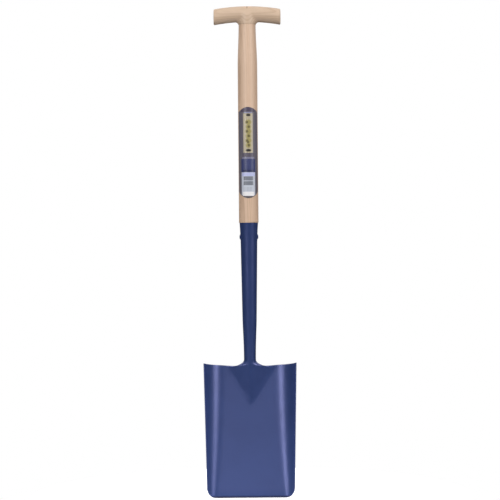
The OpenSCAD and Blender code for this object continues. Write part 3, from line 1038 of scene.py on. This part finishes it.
def label_print():
    """Generic printed film: a framed panel with a plain ornament, a blue block and a striped panel."""
    g = Print("printed_film")
    base = g.blend(g.noise(400.0, 2.0, 0.5), GREY, mix_rgba(GREY, PLUM, 0.5))
    base = g.bands(
        base,
        (226.0, 240.0, 15.0, PLUM),
        (223.8, 225.8, 8.5, mix_rgba(PLUM, LAVENDER, 0.45)),
        (142.0, 223.0, 9.9, BEIGE),
    )
    base = print_ornament(g, base)
    base = g.bands(
        base,
        (134.2, 142.5, 12.5, mix_rgba(PLUM, GREY, 0.25)),
        (130.2, 133.8, 13.0, mix_rgba(LAVENDER, PLUM, 0.7)),
        (102.8, 130.2, 15.6, BLUE),
        (102.8, 108.0, 12.0, NAVY),
        (56.5, 102.8, 15.0, PALE),
        (94.8, 102.4, 14.2, LAVENDER),
    )
    base = print_rules(g, base)
    base = g.bands(
        base,
        (54.5, 63.0, 12.5, WHITE),
        (45.0, 53.6, 14.0, mix_rgba(INK, GREY, 0.45)),
    )
    rough = g.ramp(g.noise(350.0, 2.0, 0.5), 0.3, 0.7, 0.36, 0.46)
    g.set(Base_Color=base, Roughness=rough, Normal=g.bump(g.noise(250.0), 0.00004, 0.3))
    return g.set(Coat_Weight=0.15, Coat_Roughness=0.3)


# ================= Stage =================

# Places, distances and sizes of the stage are in metres, but for the floor
CAMERA_DISTANCE = 3.705
CAMERA_X, CAMERA_Z = 0.0020, -0.056
CAMERA_ROLL = math.radians(0.5)
LENS, SENSOR_W = 130.0, 36.0
# Height of the point on the axis that every light is aimed at
AIM_Z = -0.25
# The room's brightness below and above these heights of its sky, from -1 to 1
WORLD_DIM_BELOW, WORLD_FULL_ABOVE = 0.35, 0.75
WORLD_DIM, WORLD_FULL = 0.02, 0.60
# Radii of the floor's rings, and its drop below the cutting edge, in millimetres
FLOOR_RINGS = (450.0, 300.0, 150.0)
FLOOR_DROP = 0.05


def softbox(name, azimuth, elevation, distance, size, power):
    """Area light; azimuth is measured from the front, positive to the right."""
    light = bpy.data.lights.new(name, "AREA")
    light.shape = "RECTANGLE"
    light.size, light.size_y = size
    light.energy = power
    obj = bpy.data.objects.new(name, light)
    bpy.context.scene.collection.objects.link(obj)
    a, e = math.radians(azimuth), math.radians(elevation)
    away = Vector((math.sin(a) * math.cos(e), -math.cos(a) * math.cos(e), math.sin(e)))
    obj.location = Vector((0.0, 0.0, AIM_Z)) + away * distance
    obj.rotation_euler = (-away).to_track_quat("-Z", "Y").to_euler()


def make_world():
    """White towards the camera; for light, a dim room that brightens overhead."""
    world = bpy.data.worlds.new("studio")
    bpy.context.scene.world = world
    world.use_nodes = True
    tree = world.node_tree
    tree.nodes.clear()
    out = tree.nodes.new("ShaderNodeOutputWorld")
    pick = tree.nodes.new("ShaderNodeMixShader")
    rays = tree.nodes.new("ShaderNodeLightPath")
    shown = tree.nodes.new("ShaderNodeBackground")
    shown.inputs[0].default_value = (1.0, 1.0, 1.0, 1.0)
    shown.inputs[1].default_value = 1.0
    lit = tree.nodes.new("ShaderNodeBackground")
    lit.inputs[0].default_value = (0.97, 0.98, 1.0, 1.0)
    where = tree.nodes.new("ShaderNodeTexCoord")
    parts = tree.nodes.new("ShaderNodeSeparateXYZ")
    level = tree.nodes.new("ShaderNodeMapRange")
    level.interpolation_type = "SMOOTHSTEP"
    level.inputs[1].default_value = WORLD_DIM_BELOW
    level.inputs[2].default_value = WORLD_FULL_ABOVE
    level.inputs[3].default_value = WORLD_DIM
    level.inputs[4].default_value = WORLD_FULL
    links = tree.links
    links.new(where.outputs["Generated"], parts.inputs[0])
    links.new(parts.outputs[2], level.inputs[0])
    links.new(level.outputs[0], lit.inputs[1])
    links.new(rays.outputs["Is Camera Ray"], pick.inputs[0])
    links.new(lit.outputs[0], pick.inputs[1])
    links.new(shown.outputs[0], pick.inputs[2])
    links.new(pick.outputs[0], out.inputs[0])


def make_floor():
    """Plain white disc that the spade's cutting edge stands on."""
    z = cad_lo.z / MM - FLOOR_DROP
    skin = Skin()
    skin.rings([circle(r, z, 96) for r in FLOOR_RINGS], cap_b=(0, 0, z))
    floor = skin.build("floor")
    g = Graph("floor_white")
    tone = g.blend(g.noise(3.0, 2.0, 0.5), rgba(0.93, 0.93, 0.93), rgba(0.95, 0.95, 0.95))
    g.set(Base_Color=tone, Roughness=0.9)
    floor.data.materials.append(g.set(Emission_Color=rgba(1.0, 1.0, 1.0), Emission_Strength=0.62))


def make_camera():
    """Level camera in front of the spade, rolled a little as the spade leans in the view."""
    data = bpy.data.cameras.new("camera")
    data.lens = LENS
    data.sensor_width = SENSOR_W
    data.clip_start, data.clip_end = 0.1, 100.0
    cam = bpy.data.objects.new("camera", data)
    bpy.context.scene.collection.objects.link(cam)
    level = Matrix.Rotation(math.pi / 2, 4, "X")
    roll = Matrix.Rotation(-CAMERA_ROLL, 4, "Z")
    place = Matrix.Translation((CAMERA_X, -CAMERA_DISTANCE, CAMERA_Z))
    cam.matrix_world = place @ level @ roll
    bpy.context.scene.camera = cam


def finish_piece(obj, material, slot, *nodes):
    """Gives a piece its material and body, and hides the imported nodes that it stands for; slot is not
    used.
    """
    obj.data.materials.clear()
    obj.data.materials.append(material)
    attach(obj, "root")
    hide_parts(*nodes)


blue = enamel()
shaft_wood = wood("ash_shaft", "Z", (0.052, 0.040), rgba(0.705, 0.50, 0.36), rgba(0.45, 0.29, 0.19))
grip_wood = wood("ash_grip", "X", (0.045, 0.395), rgba(0.64, 0.475, 0.345), rgba(0.43, 0.29, 0.19))
wedge_wood = wood("wedge_wood", "Z", (0.02, 0.03), rgba(0.36, 0.23, 0.13), rgba(0.20, 0.12, 0.07))

finish_piece(make_head(), blue, "blue_enamel", "spade_head")
finish_piece(make_rivet(), blue, "blue_enamel", "socket_rivet")
finish_piece(make_shaft(), shaft_wood, "ash_shaft", "shaft")
finish_piece(make_grip(), grip_wood, "ash_grip", "t_grip")
finish_piece(make_wedge(), wedge_wood, "wedge_wood", "tenon_wedge")
finish_piece(make_pin(), steel(), "plain_steel", "grip_pin")
finish_piece(make_label(), label_print(), "printed_film", "label")

make_world()
make_floor()
make_camera()

# Name, azimuth, elevation, distance, size and power of each light
softbox("strip_left", -33, 25, 3.0, (0.95, 1.5), 42)
softbox("strip_right", 49, 25, 3.0, (0.95, 1.5), 40)
softbox("panel_front", 0, 18.5, 3.2, (1.6, 0.35), 3.8)
softbox("key_front", 0, 55, 2.2, (2.4, 1.2), 6.5)
softbox("fill_back_left", -140, 40, 3.0, (2.0, 2.0), 22)
softbox("fill_back_right", 140, 40, 3.0, (2.0, 2.0), 22)

bpy.context.scene.view_settings.view_transform = "Standard"
bpy.context.scene.view_settings.look = "None"
